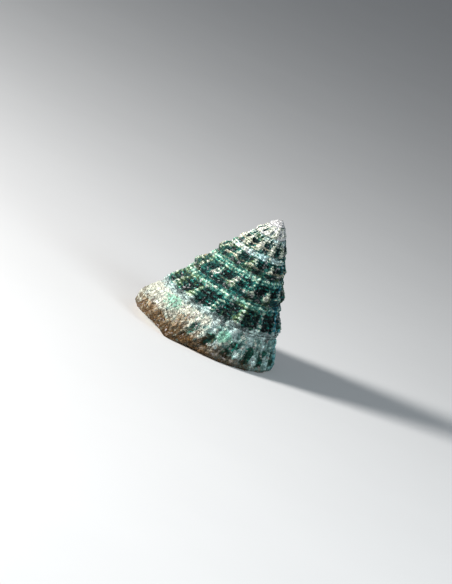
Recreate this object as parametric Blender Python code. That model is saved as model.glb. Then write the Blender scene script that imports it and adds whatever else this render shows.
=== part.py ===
"""A top shell: a right-handed cone of knobbed whorls on a shallow hollow base, with an oblique four-sided mouth.

The shell rests on its rim and its lower lip. Metres, +Z up, and the side seen first faces -Y.
Every line of it is worked out from n, the number of whorls grown since the apex.
"""

import math

import bmesh
import bpy
from mathutils import Matrix, Vector

# The coil
FRONT_WHORL = 7.50          # the rim passes the side that faces -Y here
LEFT_WHORL = 7.75           # and the -X side here, a quarter turn on, where these two sizes are taken
SEAM_REACH = 0.0335         # the seam's depth below the apex
SEAM_RADIUS = 0.0170        # the seam's distance from the axis
DESCENT = 1.82              # depth grows as n to this power, so each whorl is higher than the one above it
FLARE = 0.79                # radius grows as depth to this power, so the sides of the cone swell a little
FIRST_WHORL = 0.7           # the worn tip ends here
TIP_DEPTH = 0.0001          # and its top lies this far below the apex
LAST_WHORL = 7.945          # the outer lip meets the seam here
RIM_DROP, RIM_OUT = 0.0007, 0.0003   # the free rim hangs this far below a seam, and outside it
RIM_RAMP = 0.20             # whorls over which the rim takes up that hang, past the mouth
LUMP = 0.0011               # a lump of crust hangs this far below the rim
LUMP_AT, LUMP_WIDTH = 7.575, 0.030
LUMP_FADE = 3               # its hang falls off as this power of the way to the rim

# The mouth and the base
LIP_LAG = 0.09              # whorls by which the rim stops short of the seam at the mouth
LOWER_LIP_LAG = 0.02        # and the middle of the lower lip stops short of the rim
LIP_RAMP = 0.45             # whorls over which the growth lines take up that slant
WALL = 0.0013               # thickness of the outer wall and of the base
LIP_EDGE = 0.0006           # thickness at the edge of the lip
LIP_TAPER = 0.10            # whorls over which the lip thins
PILLAR = 0.125              # the central pillar's radius, as a share of the seam's
PILLAR_FOLD = 0.0007        # the fold that winds up the pillar stands out this far
BASE_RISE = 0.11            # the middle of the base lies above the rim by this share of the rim's depth
BASE_CURVE = 1.15           # over 1, so the base is flattest near the rim
BASE_FILL = 3               # past the mouth the middle is filled in as this power of the way round to it
CORD = 0.0003               # the spiral cords of the base stand out this far
MOUTH_DEPTH = 1.5           # whorls of hollow behind the lip
CORNER_INSET = 1.1          # the hollow's lower corner lies this many wall thicknesses in from the rim
SIDE_BULGE = Vector((0.5, 0.15))   # its side bulges out and down by these shares of a wall thickness
FOOT_LAG = 0.14             # the middle of the pillar's foot lies this many whorls behind the lip

# The knobs, counted in knobs to a whorl. The number grows twice, over GROWTH_SPAN whorls about each middle.
KNOBS_AT_TIP, KNOBS_IN_MIDDLE, KNOBS_AT_RIM = 10.26, 14.0, 20.0
FIRST_GROWTH, SECOND_GROWTH, GROWTH_SPAN = 4.845, 6.997, 0.70
KNOB_START = -0.24                        # sets where round the shell the knobs stand
RIB_LEAN, LAST_RIB_LEAN = 0.3, 1.0        # knobs by which a rib runs ahead between its seams
LEAN_LEVEL = 0.55                         # the level on the whorl's side about which the ribs lean

# Heights, as shares of the whorl's height, and levels from 0 at the upper seam to 1 at the lower one
SWELL, KNOB, BEAD, RIB, PIT = 0.032, 0.095, 0.050, 0.025, 0.040
SWELL_FROM, SWELL_TO = 0.28, 0.84
BEAD_AT, BEAD_WIDTH = 0.20, 0.09
BEAD_LINK = 0.4                           # the row of beads keeps this share of its height between two beads
SEAM_FLAT = 0.1                           # the relief starts this far under the upper seam
PIT_AT, PIT_WIDTH = 0.58, 0.16            # the pits between the knobs
UNDERCUT_FROM = 0.92                      # below this the side turns in under the knobs
ROUND_ABOVE, ROUND_BELOW = 0.03, 0.14     # how far a whorl's side is rounded, above and at the mouth
WORN, WORN_TO = 0.5, 5.0                  # the relief keeps this share at the tip, and all of it by this whorl
LOW_KNOB = 0.6                            # and this share on the last whorl
LOW_KNOB_RAMP = 0.40                      # whorls over which it gets that low

# How it rests
LEAN = math.radians(8.6)    # the coil's axis leans this far towards +X
APEX = Vector((0.00555, 0.00073, 0.0324))

# The mesh
TURN_STEPS = 75             # steps in a whorl, nearly four to a knob near the rim
WALL_ROWS = (0.0, 0.12, 0.30, 0.50, 0.67, 0.82, 0.93, 1.0)
BASE_ROWS = tuple(row / 10 for row in range(11))   # the cords run along the odd rows
PILLAR_ROWS = (0.0, 0.3, 0.65)
HOLLOW_STEP = 4             # the hollow takes every fourth step of the wall
CREASE = math.radians(50)   # edges sharper than this are shaded as edges


def smooth_step(low, high, value):
    t = min(1.0, max(0.0, (value - low) / (high - low)))
    return t * t * (3 - 2 * t)


def seam(n):
    """The seam's radius and depth at growth n. Under the last whorl it is the free rim."""
    depth = SEAM_REACH * (n / LEFT_WHORL) ** DESCENT
    radius = SEAM_RADIUS * (depth / SEAM_REACH) ** FLARE
    free = smooth_step(LAST_WHORL - 1, LAST_WHORL - 1 + RIM_RAMP, n)
    return Vector((radius + RIM_OUT * free, depth + RIM_DROP * free))


def lump_hang(n):
    return LUMP * math.exp(-(((n - LUMP_AT) / LUMP_WIDTH) ** 2))


def place(n, radius, depth):
    """A point of the shell at growth n, turned clockwise as seen from the apex, and leaned as it rests."""
    turn = -math.pi / 2 - 2 * math.pi * (n - FRONT_WHORL)
    point = Vector((radius * math.cos(turn), radius * math.sin(turn), -depth))
    point = Matrix.Rotation(LEAN, 3, "Y") @ point + APEX
    point.z = max(point.z, 0.0)   # the rim and the lower lip are worn level where they rest
    return point


def grown(middle, n):
    """Whorls from the start of a smooth step about its middle to n, each counted by how far the step has risen."""
    t = min(1.0, max(0.0, (n - middle) / GROWTH_SPAN + 0.5))
    return GROWTH_SPAN * (t ** 3 - t ** 4 / 2) + max(0.0, n - middle - GROWTH_SPAN / 2)


def knob_wave(n, v):
    """1 on the crest of a knob or rib, 0 midway between two."""
    count = KNOBS_AT_TIP * n + KNOB_START
    count += (KNOBS_IN_MIDDLE - KNOBS_AT_TIP) * grown(FIRST_GROWTH, n)
    count += (KNOBS_AT_RIM - KNOBS_IN_MIDDLE) * grown(SECOND_GROWTH, n)
    lean = RIB_LEAN + (LAST_RIB_LEAN - RIB_LEAN) * last_turn(n)
    return 0.5 + 0.5 * math.cos(2 * math.pi * (count - lean * (v - LEAN_LEVEL)))


def last_turn(n):
    return smooth_step(LAST_WHORL - 1, LAST_WHORL, n)


def relief(n, v):
    """How far the wall stands out of the cone, v of the way from its upper seam to its lower one."""
    wave = knob_wave(n, v)
    swell = smooth_step(SWELL_FROM, SWELL_TO, v)
    bead = math.exp(-(((v - BEAD_AT) / BEAD_WIDTH) ** 2))
    pit = math.exp(-(((v - PIT_AT) / PIT_WIDTH) ** 2))
    height = (SWELL + KNOB * wave) * swell + RIB * wave - PIT * pit * (1 - wave)
    height += BEAD * bead * (BEAD_LINK + (1 - BEAD_LINK) * wave)
    height *= smooth_step(0.0, SEAM_FLAT, v) * (1 - smooth_step(UNDERCUT_FROM, 1.0, v))
    height *= WORN + (1 - WORN) * smooth_step(0.0, WORN_TO, n)
    height *= 1 + (LOW_KNOB - 1) * smooth_step(LAST_WHORL - 1, LAST_WHORL - 1 + LOW_KNOB_RAMP, n)
    return height + (ROUND_ABOVE + (ROUND_BELOW - ROUND_ABOVE) * last_turn(n)) * math.sin(math.pi * v)


def lag(n, reach):
    """Whorls by which a growth line has fallen behind, for a line that falls behind by reach at the lip."""
    return reach * smooth_step(LAST_WHORL - LIP_RAMP, LAST_WHORL, n)


def wall_point(n, v):
    """A point of the outer wall, v of the way from its upper seam to its lower one."""
    n -= lag(n, LIP_LAG * v)
    upper = seam(n - 1)
    lower = seam(n)
    along = lower - upper
    out = Vector((along.y, -along.x))   # as long as the whorl is high
    line = upper.lerp(lower, v) + out * relief(n, v)
    return place(n, line.x, line.y + lump_hang(n) * v ** LUMP_FADE)


def base_line(n, u):
    """Radius and depth on the base, u of the way from the rim to the pillar."""
    rim = seam(n)
    filled = LAST_WHORL - (LAST_WHORL - n) ** BASE_FILL if n > LAST_WHORL - 1 else n
    middle = seam(filled).y * (1 - BASE_RISE)
    return Vector((rim.x * (1 - u * (1 - PILLAR)), rim.y + (middle - rim.y) * u ** BASE_CURVE))


def base_lag(n, u):
    return lag(n, LIP_LAG + LOWER_LIP_LAG * math.sin(math.pi * u))


def base_point(n, row):
    u = BASE_ROWS[row]
    n -= base_lag(n, u)
    line = base_line(n, u)
    return place(n, line.x, line.y + CORD * (row % 2) + lump_hang(n) * (1 - u) ** LUMP_FADE)


def thickness(n):
    return LIP_EDGE + (WALL - LIP_EDGE) * smooth_step(0.0, LIP_TAPER, LAST_WHORL - n)


def hollow_ring(n):
    """The hollow's outline at growth n: down the outer wall, in along the base, up the pillar, out along the roof."""
    thick = thickness(n)
    at_rim = n - lag(n, LIP_LAG)
    roof_edge = base_line(n - 1, BASE_ROWS[1])
    rim = base_line(at_rim, 0.0) + Vector((-thick * CORNER_INSET, -thick))
    foot = base_line(at_rim, 1.0) + Vector((0.0, -thick))
    ring = []
    for v in WALL_ROWS[1:]:
        line = roof_edge.lerp(rim, v)
        bulge = SIDE_BULGE * thick * math.sin(math.pi * v)
        ring.append(place(n - lag(n, LIP_LAG * v), *(line + bulge)))
    for u in BASE_ROWS[1:]:
        line = rim.lerp(foot, u)
        ring.append(place(n - base_lag(n, u), *line))
    top = base_line(n - 1, 1.0)
    for w in PILLAR_ROWS[1:]:
        line = foot.lerp(top, w) + Vector((PILLAR_FOLD * math.sin(math.pi * w), 0.0))
        ring.append(place(n - lag(n, LIP_LAG) * (1 - w), *line))
    for u in reversed(BASE_ROWS[1:]):
        ring.append(place(n, *base_line(n - 1, u)))
    return ring


def build_shell():
    mesh = bmesh.new()
    columns = round((LAST_WHORL - FIRST_WHORL - 1) * TURN_STEPS)
    rows = len(WALL_ROWS) - 1

    def growth(column):
        return LAST_WHORL - (columns - column) / TURN_STEPS

    # The seam above the first whorl, then the wall: its lower seam is the next whorl's upper one.
    first_turn = [growth(column - TURN_STEPS) for column in range(TURN_STEPS)]
    top_seam = [mesh.verts.new(place(n, *seam(n))) for n in first_turn]
    wall = []
    for column in range(columns + 1):
        n = growth(column)
        upper = top_seam[column] if column < TURN_STEPS else wall[column - TURN_STEPS][rows]
        wall.append([upper] + [mesh.verts.new(wall_point(n, v)) for v in WALL_ROWS[1:]])
    for left, right in zip(wall, wall[1:]):
        for row in range(rows):
            mesh.faces.new((left[row], left[row + 1], right[row + 1], right[row]))

    # The tip closes over the first turn of the seam.
    tip = mesh.verts.new(place(FIRST_WHORL, 0.0, TIP_DEPTH))
    loop = top_seam + wall[0][::-1]
    for first, second in zip(loop, loop[1:]):
        mesh.faces.new((tip, first, second))

    # The base, under the last turn of the rim.
    base = []
    for column in range(columns - TURN_STEPS, columns + 1):
        n = growth(column)
        inward = [mesh.verts.new(base_point(n, row)) for row in range(1, len(BASE_ROWS))]
        base.append([wall[column][rows]] + inward)
    for left, right in zip(base, base[1:]):
        for row in range(len(BASE_ROWS) - 1):
            mesh.faces.new((left[row], left[row + 1], right[row + 1], right[row]))

    # The hollow's first ring shares the base's first line, which is the roof of the mouth.
    roof = base[0]
    edge = [mesh.verts.new(p) for p in hollow_ring(LAST_WHORL)[: -len(BASE_ROWS) + 1]]
    rings = [edge + roof[:0:-1]]
    for column in range(columns - HOLLOW_STEP, columns - round(MOUTH_DEPTH * TURN_STEPS), -HOLLOW_STEP):
        rings.append([mesh.verts.new(p) for p in hollow_ring(growth(column))])
    for near, far in zip(rings, rings[1:]):
        for k in range(len(near)):
            mesh.faces.new((near[k - 1], near[k], far[k], far[k - 1]))
    end = mesh.verts.new(sum((v.co for v in rings[-1]), Vector()) / len(rings[-1]))
    for k in range(len(rings[-1])):
        mesh.faces.new((rings[-1][k - 1], rings[-1][k], end))

    # The lip joins the wall's and the base's last lines to the hollow's edge.
    outer = wall[-1] + base[-1][1:]
    inner = [roof[1]] + edge[: len(outer) - 1]
    for k in range(len(outer) - 1):
        mesh.faces.new((outer[k], outer[k + 1], inner[k + 1], inner[k]))

    # The pillar's foot closes the middle of the base.
    foot_n = LAST_WHORL - FOOT_LAG
    foot = mesh.verts.new(place(foot_n, 0.0, base_line(foot_n, 1.0).y))
    pillar = [line[-1] for line in base] + edge[len(outer) - 2 :] + [roof[-1]]
    for first, second in zip(pillar, pillar[1:]):
        if first is not second:
            mesh.faces.new((foot, first, second))

    bmesh.ops.recalc_face_normals(mesh, faces=mesh.faces)
    if mesh.calc_volume(signed=True) < 0:
        bmesh.ops.reverse_faces(mesh, faces=mesh.faces)
    bmesh.ops.triangulate(mesh, faces=mesh.faces)
    data = bpy.data.meshes.new("shell")
    mesh.to_mesh(data)
    mesh.free()
    data.shade_smooth()
    data.set_sharp_from_angle(angle=CREASE)
    shell = bpy.data.objects.new("shell", data)
    bpy.context.scene.collection.objects.link(shell)
    return shell


def shell_material():
    material = bpy.data.materials.new("crusted_shell")
    material.use_nodes = True
    surface = material.node_tree.nodes["Principled BSDF"]
    surface.inputs["Base Color"].default_value = (0.23, 0.33, 0.27, 1.0)
    surface.inputs["Roughness"].default_value = 0.75
    surface.inputs["Metallic"].default_value = 0.0
    return material


def main():
    for obj in list(bpy.data.objects):
        bpy.data.objects.remove(obj, do_unlink=True)
    shell = build_shell()
    shell.data.materials.append(shell_material())


main()
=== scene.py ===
"""The finished look of a top shell: its fine relief, its crusts and colours, and the studio that it stands in.

Its form repeats the solid's. Every line is worked out from n, the whorls grown since the apex, and from a level
on the wall or the base. Metres, +Z up, and the side seen first faces -Y.
"""

import math

import bpy
import numpy as np
from mathutils import Matrix, Vector, noise


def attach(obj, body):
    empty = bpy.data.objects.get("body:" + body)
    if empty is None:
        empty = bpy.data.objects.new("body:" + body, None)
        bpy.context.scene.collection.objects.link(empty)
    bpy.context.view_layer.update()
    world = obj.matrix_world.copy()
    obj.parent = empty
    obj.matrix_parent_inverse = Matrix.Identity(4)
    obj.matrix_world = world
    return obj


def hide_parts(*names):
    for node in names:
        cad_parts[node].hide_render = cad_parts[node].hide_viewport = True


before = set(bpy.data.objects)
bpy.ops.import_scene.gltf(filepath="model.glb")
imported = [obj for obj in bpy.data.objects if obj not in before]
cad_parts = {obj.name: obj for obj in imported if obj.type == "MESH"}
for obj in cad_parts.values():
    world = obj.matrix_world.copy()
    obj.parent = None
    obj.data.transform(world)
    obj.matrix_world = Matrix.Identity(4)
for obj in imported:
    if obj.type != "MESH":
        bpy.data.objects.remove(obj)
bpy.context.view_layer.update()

# The coil, as in the solid
FRONT_WHORL = 7.50          # the rim passes the side that faces -Y here
LEFT_WHORL = 7.75           # and the -X side here
SEAM_REACH = 0.0335         # the seam's depth below the apex at LEFT_WHORL
SEAM_RADIUS = 0.0170        # and its distance from the axis
DESCENT = 1.82              # depth grows as n to this power
FLARE = 0.79                # radius grows as depth to this power
FIRST_WHORL = 0.7           # the worn tip ends here
TIP_DEPTH = 0.0001          # and its top lies this far below the apex
LAST_WHORL = 7.945          # the outer lip meets the seam here
RIM_DROP, RIM_OUT = 0.0007, 0.0003   # the free rim hangs this far below a seam, and outside it
RIM_RAMP = 0.20             # whorls over which the rim takes up that hang
LUMP = 0.0011               # a lump of crust hangs this far below the rim
LUMP_AT, LUMP_WIDTH = 7.575, 0.030
LUMP_FADE = 3

# The mouth and the base, as in the solid
LIP_LAG = 0.09              # whorls by which the rim stops short of the seam at the mouth
LOWER_LIP_LAG = 0.02        # and the middle of the lower lip stops short of the rim
LIP_RAMP = 0.45             # whorls over which the growth lines take up that slant
WALL = 0.0013               # thickness of the outer wall and of the base
LIP_EDGE = 0.0006           # thickness at the edge of the lip
LIP_TAPER = 0.10            # whorls over which the lip thins
PILLAR = 0.125              # the central pillar's radius, as a share of the seam's
PILLAR_FOLD = 0.0007        # the fold that winds up the pillar stands out this far
BASE_RISE = 0.11            # the middle of the base lies above the rim by this share of the rim's depth
BASE_CURVE = 1.15
BASE_FILL = 3
CORD = 0.0003               # the spiral cords of the base stand out this far
BASE_CORDS, THREADS_PER_CORD = 5, 4
MOUTH_DEPTH = 1.5           # whorls of hollow behind the lip
CORNER_INSET = 1.1          # the hollow's lower corner lies this many wall thicknesses in from the rim
SIDE_BULGE = (0.5, 0.15)    # its side bulges out and down by these shares of a wall thickness
DEEP_INSET = 1.6            # further in, where nothing shows, the side keeps clear of the dark windows
DEEP_FROM_TO = (0.6, 0.95)  # whorls behind the lip
FOOT_LAG = 0.14             # the middle of the pillar's foot lies this many whorls behind the lip

# The knobs, as in the solid
KNOBS_AT_TIP, KNOBS_IN_MIDDLE, KNOBS_AT_RIM = 10.26, 14.0, 20.0
FIRST_GROWTH, SECOND_GROWTH, GROWTH_SPAN = 4.845, 6.997, 0.70
KNOB_START = -0.24
RIB_LEAN, LAST_RIB_LEAN = 0.3, 1.0
LEAN_LEVEL = 0.55
SWELL, KNOB, BEAD, RIB, PIT = 0.032, 0.095, 0.050, 0.025, 0.040
SWELL_FROM, SWELL_TO = 0.28, 0.84
BEAD_AT, BEAD_WIDTH = 0.20, 0.09
BEAD_LINK = 0.4
SEAM_FLAT = 0.1
PIT_AT, PIT_WIDTH = 0.58, 0.16
ROUND_ABOVE, ROUND_BELOW = 0.03, 0.14
WORN, WORN_TO = 0.5, 5.0
LOW_KNOB = 0.6
LOW_KNOB_RAMP = 0.40

# How it rests, as in the solid
LEAN = math.radians(8.6)
APEX = np.array((0.00555, 0.00073, 0.0324))

# The finer relief, as shares of the whorl's height
UNDERCUT_ABOVE, UNDERCUT_BELOW = 0.83, 0.95   # the side turns in under the knobs from here
SEAM_FILL, LAST_SEAM_FILL = 0.018, 0.045   # crust fills the seams this high, and the last one most
THREAD, THREADS = 0.020, 7.0         # spiral threads, and how many fill a whorl's side
THREAD_MIDDLE = 0.3                  # of a thread's height lies under the solid's surface
THREAD_BEADS = 3.0                   # grains on a thread for each knob
LEDGE = 0.022                        # the thin scalloped ledge that the knobs end in
LEDGE_WIDTH = 0.030
FRILL = 0.060                        # the frilled crust along the top of the last whorl
FRILL_AT, FRILL_WIDTH = 0.050, 0.045
FOLD = 0.016                         # the small folds of the last whorl
CRUST_LUMP, CRUST_LUMP_SIZE = 0.00022, 0.0012    # metres
CRUST_GRAIN, CRUST_GRAIN_SIZE = 0.00016, 0.00060
MOST_CRUST = 0.0003

# The dark windows between the knobs, at these growths: where each begins and ends on the whorl's side,
# and the share of a knob's width that it takes
WINDOW_WHORLS = (2.5, 3.5, 4.5, 5.5, 6.5, 7.3)
WINDOW_TOP = (0.50, 0.44, 0.36, 0.31, 0.25, 0.40)
WINDOW_FOOT = (0.88, 0.94, 0.77, 0.73, 0.90, 0.84)
WINDOW_SHARE = (0.32, 0.56, 0.60, 0.57, 0.68, 0.50)

# Where the markings come in and fade out, as growths. Each span is from none to full, or from full to none.
LAST_COLOUR = (LAST_WHORL - 1.02, LAST_WHORL - 0.80)    # the last whorl's colours come in behind, slowly
TIP_TO = (1.2, 3.2)
FIRST_TO = (2.6, 4.2)
UPPER_TO = (4.6, 5.0)
WINDOWS_FROM, DARKER_TO = (1.5, 2.5), (3.8, 4.4)
FAINT_WINDOWS = (4.45, 0.5)             # middle and width
PITS_FROM, PITS_TO = (1.5, 2.3), (3.9, 4.3)
KNOBS_DULL_FROM = (5.8, 6.2)
LEDGES_FROM = (3.0, 3.6)
UNDER_FROM, UNDER_TO = (3.7, 4.3), (5.6, 6.1)
RUST_FROM = (3.6, 5.0)
ROUGHER_FROM = (3.8, 4.8)
PALE_TO, PALEST_TO = (3.1, 4.7), (2.4, 3.0)
WIDE_BAND_FROM, WIDE_BAND_TO = (4.28, 4.34), (4.62, 4.80)
CYAN_FROM, CYAN_TO = (3.2, 3.4), (4.0, 4.2)
MINT_FROM = (4.8, 5.4)
BLUER_FROM = (4.0, 6.0)
CRUSTED_FROM, CRUSTED_TO = (7.51, 7.57), (7.8, 7.9)
CREAM_FROM = (7.44, 7.58)
TAN_FROM, TAN_TO = (7.46, 7.56), (7.72, 7.80)
RIM_CRUST_AND_SHADE_FROM, RIM_CRUST_AND_SHADE_TO = (7.30, 7.45), (7.6, 7.7)
SPECKS_FROM = (7.42, 7.52)
FOOT_SHADE_FROM, FOOT_SHADE_TO = (7.25, 7.36), (7.50, 7.62)

# Patches, each with its middle and width along the whorl, and then down it
LEFT_MINT = ((7.630, 0.038), (0.25, 0.26))
FRONT_MINT = ((7.465, 0.014), (0.38, 0.15))
CRUST_PATCH = ((7.575, 0.032), (0.45, 0.22))
NOTCH_SHADE = ((7.335, 0.018), (0.10, 0.10))
HIGH_RIM_CRUST_AND_SHADE = (7.47, 0.06)
RIGHT_SHADE = (7.27, 0.07)
FRONT_BLUE = (7.40, 0.05)
FLAMES = (7.335, 7.385, 7.435, 7.490)       # the pale flames of the last whorl
FLAME_WIDTH, FLAME_LEAN = 0.011, 0.045
STREAKS_ACROSS, STREAKS_DOWN, STREAKS_ALONG = 2.6, 1.1, 0.6

# Sides of the shell, each with its middle and width: 0.25 on the right, 0.5 in front, 0.75 on the left, 0 behind. The
# left side is painted paler, partly as painted light from the key lamp, and the right side bluer, partly as painted
# shade.
LIT_LEFT_SIDE, SHADED_RIGHT_SIDE, BACK_BLUE = (0.77, 0.10), (0.29, 0.09), (0.10, 0.12)

# The noises that push the markings about, in metres
BROAD_LUMPS, SMALL_LUMPS = 0.0026, 0.0011
OTHER_PLACE = 0.05          # where the small one is read, so that the two differ

# The mesh
TURN_STEPS = 380
ROW_HEIGHT = 0.000205       # between two rows of the wall
MOST_ROWS, FEWEST_ROWS = 44, 12
BASE_STEPS = 46
PILLAR_STEPS = 8
HOLLOW_STEP = 8

WALL_SIDE, BASE_SIDE, INNER_SIDE = 0, 1, 2      # the three regions, and their material slots


def srgb(red, green, blue_and_shade):
    """A colour given as it looks on a screen, 0 to 255, as linear light."""
    steps = [value / 255 for value in (red, green, blue_and_shade)]
    return (*(s / 12.92 if s <= 0.04045 else ((s + 0.055) / 1.055) ** 2.4 for s in steps), 1.0)


CREAM = srgb(240, 242, 226)
TIP_WHITE = srgb(255, 252, 252)
PALE_CYAN = srgb(206, 238, 238)
MINT = srgb(156, 208, 186)
LIGHT_TEAL = srgb(150, 208, 192)
TEAL = srgb(66, 128, 118)
OLIVE = srgb(104, 126, 94)
DEEP_GREEN = srgb(2, 27, 26)
SOFT_GREEN = srgb(44, 80, 68)
NEAR_BLACK = srgb(3, 11, 14)
BLUE_GREY = srgb(172, 204, 198)
PALE_BLUE = srgb(206, 226, 222)
# These two colours stand partly for the crust's own teal and partly for painted shade on the shell's right side.
SHADED_SEA_BLUE = srgb(40, 110, 138)
SHADED_BRIGHT_SEA = srgb(124, 206, 216)
STRAW = srgb(206, 202, 178)
SAND_HIGHLIGHT = srgb(200, 214, 190)
PIT_SHADE = srgb(24, 46, 50)
RECESS_SHADE = srgb(74, 122, 122)
TAN = srgb(164, 134, 102)
BROWN = srgb(80, 60, 38)
BASE_SAND = srgb(196, 196, 168)
BASE_GREEN = srgb(150, 168, 146)
PEARL = srgb(232, 228, 220)
PEARL_GREEN = srgb(196, 216, 200)
PEARL_ROSE = srgb(228, 204, 204)


def smooth_step(low, high, value):
    t = np.clip((value - low) / (high - low), 0.0, 1.0)
    return t * t * (3 - 2 * t)


def hump(value, at, width):
    return np.exp(-(((value - at) / width) ** 2))


def side_hump(n, at, width):
    """A hump on one side of the shell, which wraps round it."""
    return hump((n - at + 0.5) % 1.0, 0.5, width)


def seam(n):
    """The seam's radius and depth at growth n. Under the last whorl it is the free rim."""
    depth = SEAM_REACH * (n / LEFT_WHORL) ** DESCENT
    radius = SEAM_RADIUS * (depth / SEAM_REACH) ** FLARE
    free = smooth_step(LAST_WHORL - 1, LAST_WHORL - 1 + RIM_RAMP, n)
    return radius + RIM_OUT * free, depth + RIM_DROP * free


def lump_hang(n):
    return LUMP * hump(n, LUMP_AT, LUMP_WIDTH)


def place(n, radius, depth):
    """Points of the shell at growth n, turned clockwise as seen from the apex, and leaned as it rests."""
    turn = -math.pi / 2 - 2 * math.pi * (n - FRONT_WHORL)
    points = np.stack([radius * np.cos(turn), radius * np.sin(turn), -depth + 0 * turn], axis=-1)
    points = points @ np.array(Matrix.Rotation(LEAN, 3, "Y")).T + APEX
    points[..., 2] = np.maximum(points[..., 2], 0.0)
    return points


def last_turn(n):
    return smooth_step(LAST_WHORL - 1, LAST_WHORL, n)


def grown(middle, n):
    t = np.clip((n - middle) / GROWTH_SPAN + 0.5, 0.0, 1.0)
    return GROWTH_SPAN * (t ** 3 - t ** 4 / 2) + np.maximum(0.0, n - middle - GROWTH_SPAN / 2)


def knob_count(n, v):
    """Knobs since the apex along a rib's slant: whole numbers on the crests."""
    count = KNOBS_AT_TIP * n + KNOB_START
    count = count + (KNOBS_IN_MIDDLE - KNOBS_AT_TIP) * grown(FIRST_GROWTH, n)
    count = count + (KNOBS_AT_RIM - KNOBS_IN_MIDDLE) * grown(SECOND_GROWTH, n)
    lean = RIB_LEAN + (LAST_RIB_LEAN - RIB_LEAN) * last_turn(n)
    return count - lean * (v - LEAN_LEVEL)


def chance(number, kind):
    """A fixed value from 0 to 1 for each whole number, different for each kind."""
    wild = np.sin(number * 12.9898 + kind * 78.233) * 43758.5453
    return wild - np.floor(wild)


def cloud(points, size, octaves=3):
    """Noise from about -1 to 1 at each point, in lumps of that size."""
    return np.array([noise.fractal(Vector(p), 1.0, 2.0, octaves) for p in np.asarray(points) / size])


def tent(n, v, count):
    """1 on a knob, 0 in the window beside it. A knob is narrower at its top than at its foot."""
    share = np.interp(n, WINDOW_WHORLS, WINDOW_SHARE) - 0.30 * (v - 0.55)
    cut = np.cos(math.pi * (1 - np.clip(share, 0.05, 0.95)))
    return smooth_step(cut - 0.40, cut + 0.40, np.cos(2 * math.pi * count))


def ledge_level(n):
    return 0.78 + 0.12 * smooth_step(5.7, 6.4, n)


def last_whorl(n):
    """1 below the seam where the last whorl starts, 0 above it."""
    return smooth_step(LAST_WHORL - 1.02, LAST_WHORL - 0.96, n)


def scallops(n):
    """The uneven scallops along the top of a whorl: 1 on each, 0 between two."""
    count = 2 * knob_count(n, 0.0)
    return 0.5 + 0.5 * np.cos(2 * math.pi * count + 1.6 * chance(np.round(count), 2))


def seam_fill(n):
    """How high crust stands in the seam at growth n, as a share of the whorl's height. The free rim has none."""
    last = last_whorl(n + 1)
    return (SEAM_FILL * (1 - last) + LAST_SEAM_FILL * last) * (1 - last_whorl(n))


def threads(v, count):
    """The spiral threads with their grains: 1 on a grain, 0 between two threads."""
    thread = (0.5 + 0.5 * np.cos(2 * math.pi * THREADS * v)) * (0.7 + 0.3 * chance(np.round(THREADS * v), 9))
    return thread * (0.35 + 0.65 * (0.5 + 0.5 * np.cos(2 * math.pi * THREAD_BEADS * count)))


def folds(v, count):
    """The small folds of the last whorl, from about -1 to 1."""
    uneven = np.cos(2 * math.pi * 3 * count) * (0.6 + 0.8 * chance(np.round(3 * count), 3))
    return uneven * smooth_step(0.12, 0.3, v) * (1 - smooth_step(0.86, 0.97, v))


def relief(n, v):
    """How far the wall stands out of the cone, as a share of the whorl's height."""
    count = knob_count(n, v)
    soft = 0.5 + 0.5 * np.cos(2 * math.pi * count)
    knob = 0.45 * soft + 0.55 * tent(n, v, count)
    uneven = 0.75 + 0.40 * chance(np.round(count), 1)
    swell = smooth_step(SWELL_FROM, SWELL_TO, v)
    height = (SWELL + KNOB * knob * uneven) * swell + RIB * knob - PIT * hump(v, PIT_AT, PIT_WIDTH) * (1 - knob)
    height = height + BEAD * hump(v, BEAD_AT, BEAD_WIDTH) * (BEAD_LINK + (1 - BEAD_LINK) * soft)
    body = last_whorl(n)
    height = height + THREAD * (threads(v, count) - THREAD_MIDDLE) * (1 - 0.6 * body)
    ledge_at = ledge_level(n) - 0.02 * (1 - knob)
    height = height + LEDGE * hump(v, ledge_at, LEDGE_WIDTH) * (0.4 + 0.6 * knob)
    undercut = UNDERCUT_ABOVE + (UNDERCUT_BELOW - UNDERCUT_ABOVE) * smooth_step(5.5, 6.2, n)
    height = height * smooth_step(0.0, SEAM_FLAT, v) * (1 - smooth_step(undercut, 1.0, v))
    height = height * (WORN + (1 - WORN) * smooth_step(0.0, WORN_TO, n))
    height = height * (1 + (LOW_KNOB - 1) * smooth_step(LAST_WHORL - 1, LAST_WHORL - 1 + LOW_KNOB_RAMP, n))
    height = height + body * FRILL * hump(v, FRILL_AT, FRILL_WIDTH) * scallops(n)
    height = height + seam_fill(n - 1) * (0.5 + scallops(n)) * (1 - smooth_step(0.0, 0.15, v))
    height = height + seam_fill(n) * (0.5 + scallops(n + 1)) * smooth_step(0.86, 1.0, v)
    height = height + body * FOLD * folds(v, count)
    return height + (ROUND_ABOVE + (ROUND_BELOW - ROUND_ABOVE) * last_turn(n)) * np.sin(math.pi * v)


def lag(n, reach):
    return reach * smooth_step(LAST_WHORL - LIP_RAMP, LAST_WHORL, n)


def wall_points(n, v):
    n = n - lag(n, LIP_LAG * v)
    top_radius, top_depth = seam(n - 1)
    low_radius, low_depth = seam(n)
    along_radius, along_depth = low_radius - top_radius, low_depth - top_depth
    out = relief(n, v)
    radius = top_radius + along_radius * v + along_depth * out
    depth = top_depth + along_depth * v - along_radius * out
    return place(n, radius, depth + lump_hang(n) * v ** LUMP_FADE)


def base_line(n, u):
    rim_radius, rim_depth = seam(n)
    filled = np.where(n > LAST_WHORL - 1, LAST_WHORL - np.abs(LAST_WHORL - n) ** BASE_FILL, n)
    middle = seam(filled)[1] * (1 - BASE_RISE)
    return rim_radius * (1 - u * (1 - PILLAR)), rim_depth + (middle - rim_depth) * u ** BASE_CURVE


def base_lag(n, u):
    return lag(n, LIP_LAG + LOWER_LIP_LAG * np.sin(math.pi * u))


def base_cords(u):
    turn = 2 * math.pi * BASE_CORDS * u
    return CORD * (0.5 - 0.5 * np.cos(turn)) + 0.2 * CORD * np.cos(THREADS_PER_CORD * turn)


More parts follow.
